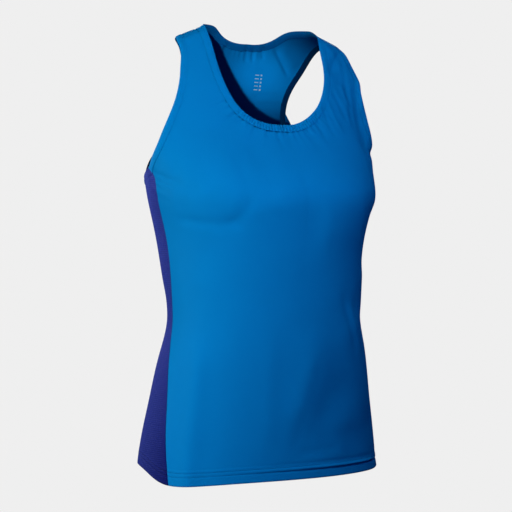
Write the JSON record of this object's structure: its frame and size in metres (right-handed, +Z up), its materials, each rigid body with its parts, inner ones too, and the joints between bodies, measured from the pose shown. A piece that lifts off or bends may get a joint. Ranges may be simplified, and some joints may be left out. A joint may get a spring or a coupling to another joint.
{
  "type": "women's running singlet",
  "caption": "Racerback running singlet, hollow as worn, with a scooped neck, bound armholes, contrast side panels and a curved turned hem.",
  "frame": {"origin": "midway between the shoulder straps, at the height where they rest on the wearer", "axes": "+Z up, the front faces -Y, the wearer's right is -X"},
  "size_m": [0.3481, 0.2575, 0.6203],
  "materials": {
    "azure_interlock": "smooth fine polyester interlock knit with a slight satin sheen",
    "violet_micro_mesh": "matte polyester micro mesh knit with fine horizontal ribs"
  },
  "bodies": {
    "root": {"front_panel": "azure_interlock", "back_panel": "azure_interlock", "neck_band": "azure_interlock", "armhole_band_right": "azure_interlock", "armhole_band_left": "azure_interlock", "side_panel_right": "violet_micro_mesh", "side_panel_left": "violet_micro_mesh"}
  },
  "joints": []
}
